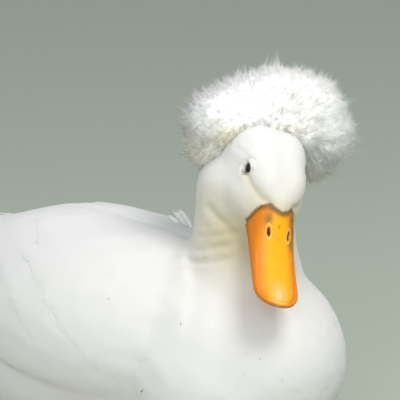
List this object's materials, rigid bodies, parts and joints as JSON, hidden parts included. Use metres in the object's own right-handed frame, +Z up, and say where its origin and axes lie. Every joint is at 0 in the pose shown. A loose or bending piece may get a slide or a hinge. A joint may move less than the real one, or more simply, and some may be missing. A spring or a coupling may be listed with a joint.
{
  "type": "crested duck",
  "caption": "White crested duck lying at rest, its head turned and lowered, with a wide soft crest behind the crown, a broad orange bill, folded wings and webbed feet.",
  "frame": {"origin": "on the floor, at the middle of the flat on which the belly rests", "axes": "+Z up, -Y the way the breast faces, +Y along the trunk to the tail, +X to the duck's left"},
  "size_m": [0.2001, 0.456, 0.2801],
  "materials": {
    "plumage": "soft white feathers, smooth over the trunk and short on the face",
    "crest_plumage": "loose, fine white down that stands out in soft tufts",
    "bill_horn": "satin orange horn, yellower along the middle",
    "nail_horn": "satin pinkish horn",
    "eye": "wet and very dark",
    "leg_skin": "scaly orange skin"
  },
  "bodies": {
    "root": {"trunk": "plumage", "neck": "plumage", "head": "plumage", "wing_left": "plumage", "wing_right": "plumage", "wing_tip_left": "plumage", "wing_tip_right": "plumage", "tail": "plumage", "crest": "crest_plumage", "bill_upper": "bill_horn", "bill_lower": "bill_horn", "bill_nail": "nail_horn", "eye_left": "eye", "eye_right": "eye", "shank_left": "leg_skin", "shank_right": "leg_skin", "foot_left": "leg_skin", "foot_right": "leg_skin"}
  },
  "joints": []
}
